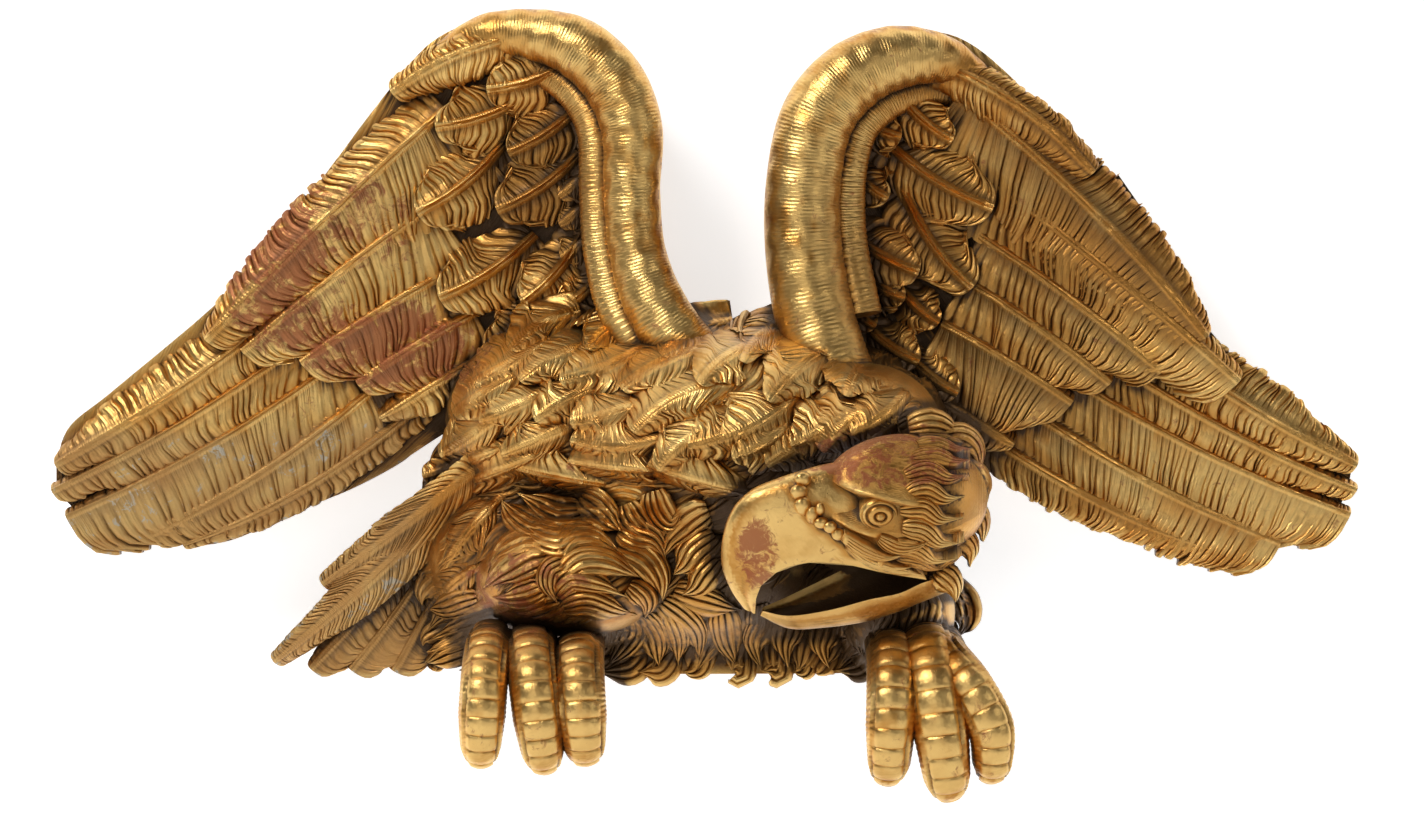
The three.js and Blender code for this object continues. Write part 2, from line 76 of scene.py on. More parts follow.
def reach(points):
    line = bend(points, np.linspace(0, 1, 40))
    return float(np.linalg.norm(np.diff(line, axis=0), axis=1).sum())


def rolls(phase, depth):  # convex rolls with a sharp groove between them, 0 on the roll and -1 in the groove
    part = phase - np.floor(phase)
    groove = depth[(np.round(phase).astype(int)) % len(depth)]
    return (np.sqrt(np.clip(1 - (2 * part - 1) ** 2, 0, 1)) - 1) * groove


# plates, tubes and rounds, moved vertex by vertex


def settle(bm, part, move=None):  # moves a part's vertices and joins it to the piece, facing outwards
    mesh = bpy.data.meshes.new("part")
    part.to_mesh(mesh)
    part.free()
    if move:
        flat = np.empty(len(mesh.vertices) * 3, np.float32)
        mesh.vertices.foreach_get("co", flat)
        placed, *marks = move(flat.reshape(-1, 3).astype(float))
        mesh.vertices.foreach_set("co", placed.astype(np.float32).ravel())
        for name, value in zip(("grain", "groove"), marks + [0, 0]):  # the count of fine strokes, and how deep in a cut
            layer = mesh.attributes.new(name, "FLOAT", "POINT")
            layer.data.foreach_set("value", (value + np.zeros(len(placed))).astype(np.float32))
    trial = bmesh.new()
    trial.from_mesh(mesh)
    if trial.calc_volume(signed=True) < 0:
        mesh.flip_normals()
    trial.free()
    bm.from_mesh(mesh)
    bpy.data.meshes.remove(mesh)


def front(x, z, depth):  # from the view's own millimetres to the scene's metres
    return np.stack([x, -depth, z], axis=-1) / 1000


def plate(bm, cols, rows, shape, thick, space=front, floor=None):
    part = bmesh.new()
    bmesh.ops.create_grid(part, x_segments=cols, y_segments=rows, size=0.5)
    drawn = bmesh.ops.extrude_edge_only(part, edges=[e for e in part.edges if e.is_boundary])
    for item in drawn["geom"]:
        if isinstance(item, bmesh.types.BMVert):
            item.co.z = -1
    bmesh.ops.holes_fill(part, edges=[e for e in part.edges if e.is_boundary], sides=0)

    def move(co):
        x, z, depth, *marks = shape(co[:, 0] + 0.5, co[:, 1] + 0.5)
        under = depth - thick if floor is None else floor
        return [space(x, z, np.where(co[:, 2] < -0.5, under, depth))] + marks

    settle(bm, part, move)


def tube(bm, around, rows, shape):  # shape(angle, t) gives places in the scene; its ends are closed
    part = bmesh.new()
    bmesh.ops.create_grid(part, x_segments=around, y_segments=rows, size=0.5)
    joined = bmesh.new()
    settle(joined, part, lambda co: shape((co[:, 0] + 0.5) * 2 * math.pi, co[:, 1] + 0.5))
    bmesh.ops.remove_doubles(joined, verts=joined.verts, dist=1e-6)
    bmesh.ops.holes_fill(joined, edges=[e for e in joined.edges if e.is_boundary], sides=0)
    bmesh.ops.recalc_face_normals(joined, faces=joined.faces)
    settle(bm, joined)


def ball(bm, around, rings, shape):  # shape takes the unit sphere's x, y, z
    part = bmesh.new()
    bmesh.ops.create_uvsphere(part, u_segments=around, v_segments=rings, radius=1)
    settle(bm, part, lambda co: shape(co[:, 0], co[:, 1], co[:, 2]))


def sweep(bm, points, half, around, rows, relief=None, strokes=0.0):  # a bar along x, z, depth points
    length = reach([(x, z) for x, z, _ in points])

    def shape(angle, t):
        at = bend(points, t)
        ahead = bend(points, np.clip(t + 0.005, 0, 1)) - bend(points, np.clip(t - 0.005, 0, 1))
        ahead /= np.linalg.norm(ahead, axis=-1, keepdims=True)
        out = np.array([0, 0, 1.0]) - ahead * ahead[:, 2:3]
        out /= np.linalg.norm(out, axis=-1, keepdims=True)
        across = np.cross(ahead, out)
        more = relief(angle, t) if relief else 0
        wide, deep = half(t)
        wide, deep = wide + more, deep + more
        spot = at + across * (np.sin(angle) * wide)[:, None] + out * (np.cos(angle) * deep)[:, None]
        grain = t * length / strokes + 1.5 * np.cos(angle) if strokes else 0
        return front(spot[:, 0], spot[:, 1], spot[:, 2]), grain, np.clip(-more / 1.5, 0, 1)

    tube(bm, around, rows, shape)


# feathers and locks

def ladder(u, wide):  # even steps of u become places across a feather: close together by the shaft, then out to its edge
    step = np.round(np.abs(u * 2 - 1) * 7).astype(int)
    near = np.minimum(np.array([0, 1.4, 3.0, 4.8, 0, 0, 0, 0])[step], np.array([0, 0.1, 0.2, 0.31, 1, 1, 1, 1])[step] * wide)
    far = np.array([0, 0, 0, 0, 0.45, 0.65, 0.84, 1])[step] * wide
    return np.sign(u - 0.5) * np.maximum(near * (step < 4), far), step


shaftRib = np.array([0.45, 1.0, 0.75, -0.35, -0.1, 0, 0, 0])


def plume(bm, spine, left, right, ground, space=front, pitch=5.6, barb=2.4, crown=4.0, rachis=2.4, lift=0.0, lean=0.0,
          tipLift=0.0, thick=14.0, slant=0.75, cap=0.8, samples=5, rootRise=0.4, edgeDrop=1.0, wave=0.5, frill=0.08,
          sink=5.0):
    # One feather: a shaft with rolled barbs that slope away from it towards the tip. left and right
    # are its widths in millimetres at even steps, measured across from the shaft.
    length = reach(spine)
    count = max(5, round(length / pitch))
    depth = chance.uniform(0.25, 1.0, 97)
    ends = chance.uniform(-1, 1, 97)
    seed, shift = int(chance.integers(0, 90)), chance.uniform(0, 50)
    places = np.concatenate([[0], np.cumsum(chance.uniform(0.6, 1.5, count))])
    drift = chance.uniform(-1, 1, (2, count + 1))

    def shape(u, t):
        wide = np.where(u < 0.5, steps(left, t), steps(right, t))
        across, step = ladder(u, wide)
        s = across / np.maximum(wide, 1e-6)
        a = np.abs(s)
        phase = t * count + seed + 43 * (u > 0.5)
        roll = rolls(phase, depth)
        number = np.floor(phase + 1e-6).astype(int) % 97
        cut = roll * smooth(a, 0.12, 0.4)
        across = across * (1 + (frill * ends[number] + 0.08 * roll) * smooth(a, 0.5, 1))
        calm = np.minimum(1, t * 5) * np.minimum(1, (1 - t) * 4)
        along = np.interp(t * count, np.arange(count + 1), places / places[-1])
        bend1, bend2 = (np.interp(t * count, np.arange(count + 1), one) for one in drift)
        along = along + 0.7 / count * np.where(u < 0.5, bend1, bend2) * a**1.5 * calm
        along = along + slant * wide * a**1.3 / length * (1 - t) * np.minimum(1, t * 5)
        along = along + wave / count * np.sin(a * 5 + shift + t * 7) * a * calm
        along = along * (1 - cap * np.maximum(wide, 1) / length * (1 - np.sqrt(np.clip(1 - 0.96 * a * a, 0, 1))) * t)
        at = bend(spine, along)
        ahead = heading(spine, np.clip(along, 0.02, 0.98))
        x = at[:, 0] - ahead[:, 1] * across
        z = at[:, 1] + ahead[:, 0] * across
        swell = steps([rootRise, 0.9, 1, 1, 0.95, 0.7], t)
        level = ground(x, z) + lift + lean * s + tipLift * t * t
        level = level + crown * (1 - edgeDrop * a**2.4) * swell - sink * (1 - smooth(t, 0, 0.3))
        level = level + barb * cut * steps([0.6, 1, 1, 1, 1, 0.8], t)
        level = level + rachis * shaftRib[step] * (1 - 0.6 * t)
        return x, z, level, phase * 3, np.maximum(np.clip(-cut, 0, 1), np.where(step == 3, 0.7, 0))

    plate(bm, 14, count * samples, shape, thick, space)


def lock(bm, points, width, ground, space=front, strands=4, crown=6.0, groove=2.2, lift=0.0, tipLift=3.0,
         thick=16.0, rows=18, profile=(0.6, 0.95, 1, 0.9, 0.66, 0.3, 0.05)):
    # One flame-shaped lock: a few strands that run along it and come together in a point.
    depth = chance.uniform(0.55, 1.0, 31)
    short = chance.uniform(0.0, 0.16, 31)
    turn = chance.uniform(-0.35, 0.35)

    def shape(u, t):
        s = u * 2 - 1
        phase = u * strands
        roll = rolls(phase, depth)
        trim = short[np.minimum(np.floor(phase), strands - 1).astype(int)]
        along = t * (1 - (trim * 0.8 + 0.1 * s * s) * t * t)
        half = width / 2 * steps(profile, t)
        at = bend(points, along)
        ahead = heading(points, np.clip(along, 0.02, 0.98))
        offset = half * (s + turn * (1 - s * s) * np.sin(t * math.pi))
        x = at[:, 0] - ahead[:, 1] * offset
        z = at[:, 1] + ahead[:, 0] * offset
        swell = steps([0.25, 0.8, 1, 1, 0.9, 0.7, 0.45], t)
        level = ground(x, z) + lift + tipLift * t * t
        level = level + crown * np.sqrt(np.clip(1 - 0.97 * s * s, 0, 1)) * swell
        level = level + groove * roll * np.minimum(1, half / width * 3.2)
        return x, z, level, phase * 3 + 1, -roll

    plate(bm, strands * 4, rows, shape, thick, space)


def hairy(points, lines, strength):  # a relief for sweeps: strokes cut across the bar
    length = reach([p[:2] for p in points])
    depth = chance.uniform(0.4, 1.0, 89)

    def relief(angle, t):
        phase = t * length / lines + 0.9 * np.sin(angle * 2 + t * 9) + 0.4 * np.sin(angle * 5 + t * 40)
        return strength * rolls(phase, depth)

    return relief


# pieces

pieceList = []


def piece(name, bm):
    mesh = bpy.data.meshes.new(name)
    bm.to_mesh(mesh)
    bm.free()
    mesh.polygons.foreach_set("use_smooth", np.ones(len(mesh.polygons), bool))
    mesh.set_sharp_from_angle(angle=math.radians(62))
    made = bpy.data.objects.new(name, mesh)
    bpy.context.scene.collection.objects.link(made)
    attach(made, "root")
    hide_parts("eagle")
    pieceList.append(made)
    mesh.calc_loop_triangles()
    print("piece", name, len(mesh.loop_triangles), "triangles")
    return made


# the wings

rightWing = {
    "arm": [(104, 20, 126), (84, 80, 112), (74, 139, 104), (74, 193, 100), (85, 242, 96), (112, 274, 92),
            (147, 289, 86), (184, 287, 76), (218, 268, 66)],
    "armHalf": (33, 31, 30, 29, 29, 28, 25, 19, 9),
    "edge": [(243, 262), (300, 190), (387, 74), (440, 22), (494, -18)],
    "leads": [(96, -20), (68, 50), (54, 130), (54, 200), (72, 260), (112, 298), (162, 311), (216, 293), (302, 202),
              (392, 78), (442, 33), (494, -6), (504, -28)],
    "trails": [(150, -62), (186, -36), (216, -32), (243, -46), (282, -62), (318, -80), (350, -92), (384, -90),
               (415, -86), (442, -84), (466, -72), (490, -64), (500, -48)],
    "primaries": [((329, 84), (507, -27), -0.06), ((298, 66), (507, -46), -0.06), ((267, 51), (502, -65), -0.06),
                  ((235, 27), (448, -87), -0.07), ((204, 6), (392, -92), -0.08)],
    "secondaries": [((196, 262), (389, 73), 0.05), ((214, 200), (414, 38), 0.02), ((212, 152), (354, 46), 0.03),
                    ((200, 118), (314, 37), 0.03), ((182, 84), (284, 22), 0.02), ((150, 42), (238, -12), 0)],
    "barb": 3.2, "pitch": 5.4, "firstUp": 30, "lastDown": 24, "secondUp": 34, "secondDown": 26,
    "leader": ((168, 288), (300, 200), 0.13, 15),
    "leaves": [((153, 257), (186, 228), 17), ((121, 241), (147, 229), 14), ((142, 225), (213, 178), 27),
               ((114, 201), (137, 182), 17), ((156, 182), (200, 118), 23), ((110, 156), (158, 126), 22),
               ((126, 118), (150, 104), 14), ((150, 112), (176, 86), 15), ((126, 80), (160, 56), 17),
               ((112, 98), (128, 82), 12), ((154, 62), (190, 32), 15), ((104, 228), (118, 212), 11)],
    "scales": [(98, 196), (99, 170), (98, 144), (98, 118), (104, 92), (112, 66)], "scaleRun": (17, -20), "scaleHalf": 11,
}

leftWing = {
    "arm": [(26, 26, 132), (-14, 58, 122), (-41, 97, 114), (-55, 139, 106), (-59, 186, 100), (-59, 232, 96),
            (-73, 269, 92), (-101, 296, 88), (-136, 307, 80), (-175, 307, 72), (-212, 290, 64)],
    "armHalf": (26, 25, 24, 22, 22, 24, 25, 24, 20, 16, 8),
    "edge": [(-247, 259), (-330, 152), (-379, 97), (-463, 29), (-500, -12)],
    "leads": [(10, -10), (-6, 60), (-32, 120), (-40, 200), (-52, 262), (-96, 312), (-147, 324), (-207, 308),
              (-250, 264), (-333, 155), (-381, 102), (-464, 32), (-500, 2), (-510, -28)],
    "trails": [(-150, -20), (-204, 2), (-240, -25), (-279, -46), (-318, -62), (-357, -80), (-380, -88), (-404, -90),
               (-424, -84), (-440, -82), (-466, -74), (-490, -66), (-504, -54), (-510, -46)],
    "primaries": [((-318, 104), (-510, -27), 0.05), ((-295, 86), (-513, -47), 0.06), ((-279, 62), (-502, -67), 0.07),
                  ((-248, 44), (-436, -81), 0.08), ((-209, 34), (-410, -90), 0.1)],
    "secondaries": [((-204, 250), (-392, 70), -0.02), ((-214, 176), (-364, 62), -0.02), ((-206, 122), (-318, 53), -0.02),
                    ((-182, 92), (-274, 37), -0.02), ((-166, 62), (-256, 9), -0.02)],
    "barb": 3.0, "pitch": 6.4, "firstUp": 26, "lastDown": 16, "secondUp": 27, "secondDown": 20,
    "leader": ((-134, 306), (-246, 262), -0.14, 14),
    "leaves": [((-116, 282), (-166, 266), 20), ((-147, 258), (-205, 238), 23), ((-104, 250), (-150, 219), 21),
               ((-166, 217), (-220, 174), 26), ((-106, 211), (-158, 175), 24), ((-142, 148), (-202, 108), 25),
               ((-102, 148), (-140, 104), 21), ((-120, 95), (-168, 66), 22), ((-80, 126), (-110, 98), 17),
               ((-84, 93), (-124, 62), 20), ((-138, 62), (-180, 36), 17), ((-70, 66), (-100, 40), 18)],
    "scales": [(-80, 226), (-78, 204), (-76, 182), (-74, 160), (-66, 140), (-58, 112), (-56, 88), (-46, 62),
               (-98, 200), (-98, 176), (-94, 152), (-84, 116)], "scaleRun": (-20, -19), "scaleHalf": 12,
}


def wingGround(data):
    rim = bend([(x, z) for x, z, *_ in data["arm"] + data["edge"]], np.linspace(0, 1, 49))

    def ground(x, z):
        gap = np.hypot(x[:, None] - rim[None, :, 0], z[:, None] - rim[None, :, 1])
        near = gap.min(axis=1)
        share = gap.argmin(axis=1) / len(rim)
        rise = (24 - 20 * smooth(share, 0.3, 0.9)) * np.exp(-((near / 36) ** 2))
        return 60 - 10 * smooth(np.abs(x), 150, 500) + rise

    return ground


def flight(bm, ground, shafts, up, down, side, lift, rise, **more):
    # Feathers side by side, each with a narrow vane above its shaft and a wide one that stands over the next.
    lines = [shaft(*one) for one in shafts]
    t = np.linspace(0, 1, 9)
    gaps = [np.linalg.norm(bend(a, t) - bend(b, t), axis=1) for a, b in zip(lines, lines[1:])]
    for i, line in reversed(list(enumerate(lines))):
        above = up * np.array([0.9, 1, 1, 1, 1, 0.95, 0.85, 0.7, 0.4]) if i == 0 else gaps[i - 1] * 0.3 + 2
        below = down * np.array([0.9, 1, 1, 1, 1, 0.95, 0.85, 0.7, 0.4]) if i == len(lines) - 1 else gaps[i] * 0.98
        above, below = above * steps([1, 1, 1, 0.95, 0.6], t), below * steps([1, 1, 1, 0.97, 0.62], t)
        left, right = (above, below) if side < 0 else (below, above)
        plume(bm, line, list(left), list(right), ground, lift=lift, lean=-side * rise * 0.45, crown=rise * 0.6, **more)


def wing(name, data):
    bm = bmesh.new()
    side = np.sign(data["edge"][0][0])  # 1 on the viewer's right
    ground = wingGround(data)

    def board(u, t):
        at = bend(data["leads"], t) * (1 - u)[:, None] + bend(data["trails"], t) * u[:, None]
        hair = rolls(t * 110 + 0.6 * np.sin(u * 14 + t * 30), depth) * smooth(t, 0, 0.02) * smooth(1 - t, 0, 0.02)
        return at[:, 0], at[:, 1], ground(at[:, 0], at[:, 1]) - 6 + 1.6 * hair, t * 330, -hair

    depth = chance.uniform(0.3, 1, 113)
    plate(bm, 20, 440, board, 20, floor=28.5)
    flight(bm, ground, data["primaries"], data["firstUp"], data["lastDown"], side, 1, 9, barb=data["barb"], thick=20,
           pitch=data["pitch"], rootRise=0.8)
    flight(bm, ground, data["secondaries"], data["secondUp"], data["secondDown"], side, 7, 10, barb=data["barb"] * 1.15,
           thick=20, pitch=data["pitch"], rootRise=0.7)
    strokes = hairy(data["arm"], 3.3, 1.0)
    inward = lambda angle: smooth(side * np.sin(angle), -0.15, 0.45)  # only the side towards the feathers is cut
    sweep(bm, data["arm"], lambda t: (steps(data["armHalf"], t),) * 2, 44, 640,
          lambda angle, t: strokes(angle, t) * inward(angle) + 0.5 * np.sin(t * 120 + np.sin(angle * 3)) * np.sin(angle * 4), strokes=2.6)
    return piece(name, bm)


def coverts(name, data):
    bm = bmesh.new()
    side = np.sign(data["edge"][0][0])
    ground = wingGround(data)
    root, tip, bow, half = data["leader"]
    vanes = [[half * k for k in (0.7, 1, 1, 1, 0.6)], [half * 1.6 * k for k in (0.7, 1, 1, 0.9, 0.5)]]
    plume(bm, shaft(root, tip, bow), *vanes[::int(-side)], ground, lift=9, crown=7, barb=2.8, thick=22, pitch=5)
    run, half = np.array(data["scaleRun"]), data["scaleHalf"]
    for root in data["scales"]:
        tip = np.array(root) + run + chance.uniform(-3, 3, 2)
        wide = [half * k for k in (0.8, 1.1, 1.2, 1.2, 1.0, 0.7)]
        plume(bm, shaft(root, tip, -0.12 * side), wide, wide, ground, lift=4 + chance.uniform(0, 2), crown=4, barb=1.8,
              thick=18, pitch=4.0, tipLift=4, slant=1.5, cap=1.0, rachis=1.8)
    for root, tip, half in reversed(data["leaves"]):
        wide = [half * k for k in (0.85, 1.15, 1.25, 1.2, 1.05, 0.75)]
        back = (np.array(tip) - root) * 0.12
        plume(bm, shaft(root - back, tip + back, -0.12 * side), wide, wide, ground, lift=6, crown=5, barb=3.6, thick=24,
              pitch=6, tipLift=10, slant=1.25, cap=1.0, rachis=5, frill=0.08, wave=1.1, samples=6)

    armLine = data["arm"]
    flatArm = [(x, z) for x, z, _ in armLine]
    inner = []
    for i, (x, z, depth) in enumerate(armLine[1:], 1):
        ahead = heading(flatArm, np.array([i / (len(armLine) - 1)]))[0]
        away = data["armHalf"][i] + 4
        inner.append((x + side * ahead[1] * away, z - side * ahead[0] * away, depth - 12))
    sweep(bm, inner, lambda t: (17 - 5 * t, 13 - 3 * t), 24, 560, hairy(inner, 3.4, 1.3), strokes=1.7)
    return piece(name, bm)


wing("wing_right", rightWing)
coverts("coverts_right", rightWing)
wing("wing_left", leftWing)
coverts("coverts_left", leftWing)
print("wings done")

# the body

masses = {
    "back": ((21, -12, 90), (142, 92, 124)),
    "shoulder": ((-113, 8, 60), (92, 77, 95)),
    "breast": ((-6, -99, 80), (84, 69, 104)),
    "thigh": ((-103, -112, 140), (75, 46, 72)),
    "hip": ((-144, -99, 66), (77, 69, 78)),
    "neck": ((118, 0, 130), (62, 52, 92)),
    "leg": ((150, -140, 124), (40, 44, 62)),
}


def coreFront(x):
    return 66 + 22 * np.clip(1 - ((x + 20) / 160) ** 2, 0, 1)


def bodyFront(x, z):
    level = coreFront(x)
    for (cx, cz, cd), (rx, rz, rd) in masses.values():
        r = ((x - cx) / rx) ** 2 + ((z - cz) / rz) ** 2
        level = np.maximum(level, np.where(r < 1, cd + rd * np.sqrt(np.clip(1 - r, 0, 1)), 0))
    return level


def softFront(x, z):
    total = 2 * bodyFront(x, z)
    for i in range(8):
        total = total + bodyFront(x + 12 * math.cos(i * math.pi / 4), z + 12 * math.sin(i * math.pi / 4))
    return total / 10


body = {
    # under-down: where it lies, the spacing of its locks and their size
    "downField": (-205, 205, -172, 70, 25), "downLock": (48, 27),
    # flowing locks: four places along each, and its width
    "skirt": [([(-81, -137), (-112, -156), (-147, -163), (-175, -166)], 30), ([(-172, -163), (-193, -170), (-210, -177), (-221, -182)], 26),
              ([(-161, -149), (-184, -158), (-203, -168), (-221, -173)], 26), ([(-60, -142), (-58, -156), (-67, -170), (-77, -182)], 24),
              ([(-81, -145), (-81, -159), (-88, -172), (-86, -184)], 24), ([(-25, -121), (-7, -128), (10, -133), (28, -137)], 26),
              ([(10, -137), (14, -151), (17, -168), (22, -184)], 26), ([(-30, -140), (-25, -156), (-23, -168), (-23, -182)], 22),
              ([(-49, -142), (-42, -158), (-39, -172), (-37, -183)], 24), ([(-34, -130), (-20, -144), (-9, -159), (-7, -180)], 26),
              ([(60, -136), (62, -150), (58, -166), (62, -184)], 28), ([(90, -136), (92, -152), (88, -168), (94, -185)], 28),
              ([(118, -130), (122, -146), (116, -160), (120, -176)], 26), ([(38, -134), (42, -150), (36, -166), (40, -184)], 26),
              ([(-112, -130), (-147, -138), (-182, -149), (-219, -165)], 34), ([(-177, -130), (-193, -133), (-207, -138), (-218, -139)], 24)],
    "thigh": [([(-60, -118), (-49, -125), (-46, -133), (-49, -144)], 20), ([(-109, -133), (-91, -130), (-70, -137), (-53, -140)], 24),
              ([(-67, -86), (-49, -95), (-37, -112), (-35, -130)], 27), ([(-123, -118), (-137, -125), (-149, -127), (-165, -126)], 26),
              ([(-120, -91), (-137, -91), (-156, -104), (-173, -122)], 40), ([(-126, -86), (-140, -83), (-156, -91), (-168, -105)], 24),
              ([(-114, -125), (-102, -112), (-81, -116), (-60, -126)], 25), ([(-112, -109), (-95, -98), (-72, -100), (-51, -111)], 27),
              ([(-114, -98), (-105, -84), (-86, -81), (-67, -91)], 27), ([(-105, -97), (-119, -104), (-121, -118), (-112, -132)], 19)],
    "curls": [([(7, -97), (-2, -109), (-9, -119), (-20, -125)], 26), ([(5, -79), (-9, -90), (-18, -102), (-28, -109)], 28),
              ([(-123, -74), (-137, -72), (-151, -63), (-159, -53)], 24), ([(-100, -69), (-112, -81), (-130, -77), (-144, -67)], 28),
              ([(-67, -74), (-55, -79), (-41, -84), (-32, -98)], 26), ([(1, -63), (-14, -69), (-27, -81), (-34, -97)], 30),
              ([(-96, -63), (-114, -63), (-131, -56), (-151, -46)], 26), ([(-96, -49), (-86, -58), (-74, -69), (-65, -77)], 27),
              ([(-63, -56), (-58, -67), (-49, -76), (-42, -81)], 25), ([(-42, -46), (-37, -60), (-28, -70), (-20, -62)], 25)],
    "legs": [([(130, -122), (134, -138), (128, -152), (132, -168)], 27), ([(184, -120), (198, -134), (200, -150), (190, -162)], 27),
             ([(168, -116), (176, -132), (172, -148), (176, -164)], 28), ([(148, -116), (154, -132), (150, -148), (152, -166)], 28)],
    "flank": [((-175, -103), (-220, -142), 15), ((-154, -46), (-212, -119), 17)],
    # short leaf feathers of the back, lower ones first: root, tip, half widths above and below
    "mantle": [((150, 8), (122, -14), 16, 18), ((134, 12), (86, -16), 18, 20), ((93, 0), (44, -26), 18, 20),
               ((174, 22), (150, -8), 16, 16), ((12, -2), (-38, -30), 16, 20), ((-105, 4), (-158, -19), 17, 18),
               ((60, 8), (18, -20), 17, 20), ((150, 36), (107, -2), 18, 20), ((116, 23), (62, -11), 18, 20),
               ((63, 27), (9, -7), 18, 22), ((40, 10), (-15, -12), 16, 20), ((13, 31), (-57, -1), 18, 24),
               ((-39, -2), (-105, -7), 12, 20), ((-52, 23), (-105, 6), 16, 22), ((-83, 35), (-132, 8), 18, 20),
               ((-128, 30), (-176, 8), 16, 18), ((93, 60), (46, 22), 18, 20), ((140, 58), (104, 26), 17, 18),
               ((40, 62), (-6, 35), 18, 21), ((-6, 60), (-66, 32), 18, 22), ((-52, 66), (-113, 38), 17, 20),
               ((-94, 62), (-144, 38), 16, 18), ((64, 78), (26, 52), 16, 18), ((10, 80), (-36, 58), 16, 18),
               ((-56, 84), (-92, 62), 14, 16), ((122, 88), (88, 58), 14, 16), ((-160, 14), (-208, -20), 16, 18),
               ((-142, 44), (-196, 12), 17, 19), ((-128, 68), (-180, 36), 17, 19), ((-108, 88), (-152, 62), 15, 17)],
    "long": [((34, -48), (-46, -26), 9, 27), ((-24, -30), (-107, -24), 9, 27), ((-76, -42), (-154, -27), 9, 26),
             ((-116, -12), (-198, -44), 12, 24), ((-150, -10), (-222, -36), 14, 16)],
}


def flowAt(x, z):  # which way the down lies
    turn = smooth(-z, 70, 170) * smooth(x, -120, 0)
    angle = math.pi + 0.45 + turn * 0.9 + 0.25 * math.sin(x * 0.03) + 0.2 * math.sin(z * 0.05)
    return np.array([math.cos(angle), math.sin(angle)])


def torso():
    bm = bmesh.new()
    for (cx, cz, cd), (rx, rz, rd) in masses.values():  # the plain forms under the plumage
        ball(bm, 48, 24, lambda x, y, z: [front(cx + x * rx, np.maximum(cz + z * rz, -189), np.maximum(cd - y * rd, 0.5))])
    plate(bm, 24, 16, lambda u, t: (u * 330 - 190, t * 229 - 189, coreFront(u * 330 - 190)), 60)
    left, right, low, high, gap = body["downField"]
    long, wide = body["downLock"]
    for z in np.arange(high, low, -gap * 0.8)[::-1]:
        for x in np.arange(left, right, gap) + chance.uniform(0, gap):
            root = np.array([x, z]) + chance.uniform(-4, 4, 2)
            if bodyFront(root[:1], root[1:])[0] < 76 or root[1] > 66 - 0.25 * abs(x - 10):
                continue
            way = flowAt(*root)
            side = np.array([-way[1], way[0]]) * chance.uniform(-6, 6)
            points = [root, root + way * long * 0.33 + side, root + way * long * 0.66 + side * 0.4, root + way * long - side * 0.6]
            points = [(max(px, -222), max(pz, -187)) for px, pz in points]
            lock(bm, points, wide, softFront, strands=4, crown=5, groove=2.4, lift=-2 + chance.uniform(0, 2), thick=20, rows=13)
    return piece("down", bm)


def plumage():
    bm = bmesh.new()
    for name, lift in (("skirt", 3), ("legs", 4), ("thigh", 5), ("curls", 6)):
        for points, width in body[name]:
            lock(bm, points, width, softFront, strands=5, crown=8, groove=3.4, lift=lift + chance.uniform(0, 2), tipLift=2,
                 thick=34, rows=24, profile=(0.7, 1, 1.05, 1, 0.86, 0.55, 0.08))
    for root, tip, half in body["flank"]:
        wide = [half * k for k in (0.8, 1, 1, 0.8, 0.4)]
        plume(bm, shaft(root, tip, -0.08), wide, wide, softFront, lift=6, crown=6, barb=3, thick=36, pitch=6, slant=1.5,
              tipLift=-14, sink=8)
    for root, tip, up, down in reversed(body["long"]):
        plume(bm, shaft(root, tip, 0.05), [down * k for k in (0.7, 1, 1, 0.9, 0.55)], [up * k for k in (0.7, 1, 1, 0.9, 0.5)],
              softFront, lift=8, crown=8, barb=4.2, thick=34, pitch=8, rachis=2.0, slant=1.1, samples=6, frill=0.1, wave=1.0,
              sink=12)
    for root, tip, up, down in body["mantle"]:
        bow = chance.uniform(-0.35, 0.2)
        back = (np.array(root) - tip) * 0.2
        plume(bm, shaft(root + back, tip, bow), [down * k for k in (1.0, 1.35, 1.4, 1.15, 0.6)],
              [up * k for k in (1.0, 1.3, 1.25, 1.0, 0.5)], softFront, lift=4 + chance.uniform(0, 3), crown=8, barb=3.6,
              thick=30, pitch=6, rachis=0.9, slant=1.7, cap=1.1, tipLift=7, samples=6, frill=0.06, wave=1.4, sink=9)
    return piece("body", bm)


torso()
plumage()
print("body done")

# the tail


def tail():
    bm = bmesh.new()
    rimGround = lambda x, z: 92 - 40 * smooth(-x, 180, 330)
    deep = lambda x, z: 58 - 14 * smooth(-x, 200, 330)
    shafts = [((-214, -70), (-312, -186), 0.05), ((-206, -84), (-280, -187), 0.04), ((-198, -96), (-246, -188), 0.03),
              ((-186, -104), (-214, -188), 0)]
    flight(bm, deep, shafts, 18, 22, -1, 0, 8, barb=1.6, thick=40, pitch=7)
    plume(bm, shaft((-178, -36), (-338, -181), 0.03), [19, 20, 19, 16, 12, 7], [17, 20, 20, 17, 12, 7], rimGround, lift=13, crown=5,
          barb=2.6, thick=56, pitch=4.4, lean=-9, slant=3.0, rachis=0.4, samples=6, wave=1.4, sink=0, frill=0.03)
    plume(bm, shaft((-176, -28), (-300, -120), 0.02), [14, 16, 15, 12, 7], [20, 22, 20, 15, 8], rimGround, lift=20, crown=5,
          barb=2.6, thick=46, pitch=4.4, lean=-6, slant=3.0, rachis=0.4, samples=6, wave=1.4, sink=0, frill=0.03)
    return piece("tail", bm)


tail()
print("tail done")

# the feet

